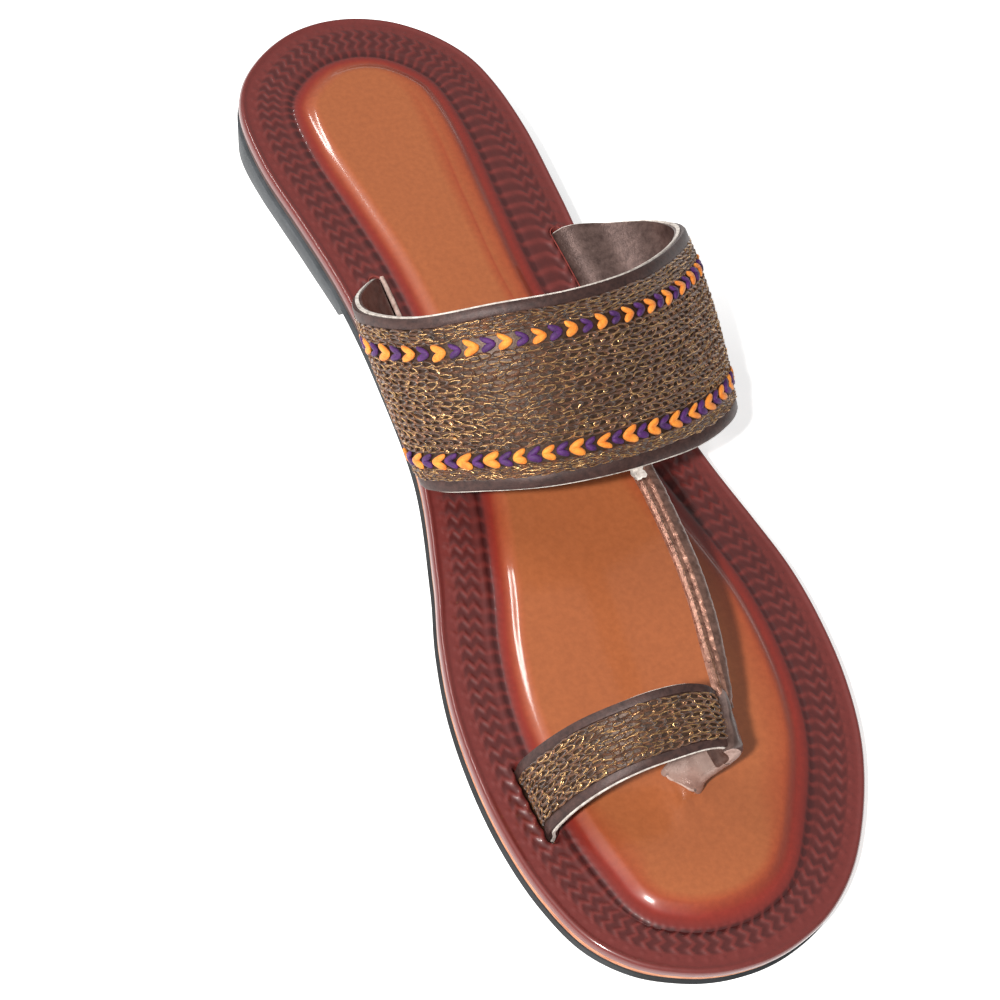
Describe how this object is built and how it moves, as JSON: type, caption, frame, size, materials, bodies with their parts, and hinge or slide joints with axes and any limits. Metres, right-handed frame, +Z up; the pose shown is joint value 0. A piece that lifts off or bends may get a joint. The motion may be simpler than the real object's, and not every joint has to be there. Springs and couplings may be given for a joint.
{
  "type": "slide sandal",
  "caption": "Left flat slide sandal with a stitched instep band, toe loop, thin connecting strap and padded embossed footbed.",
  "frame": {"origin": "centre of the whole sandal's bounding box in plan, on the floor plane under the sole", "axes": "+X towards the little-toe side, +Y towards the heel, +Z up; the toe points to -Y"},
  "size_m": [0.089, 0.25, 0.0542],
  "materials": {
    "outsole": "matt moulded sheet",
    "board": "raw cut edge",
    "cover": "embossed semi-gloss, burgundy fading to tan",
    "strap": "bronze metallic with stitched thread rows"
  },
  "bodies": {
    "root": {"outsole": "outsole", "insole_board": "board", "footbed": "cover", "upper": "strap"}
  },
  "joints": []
}
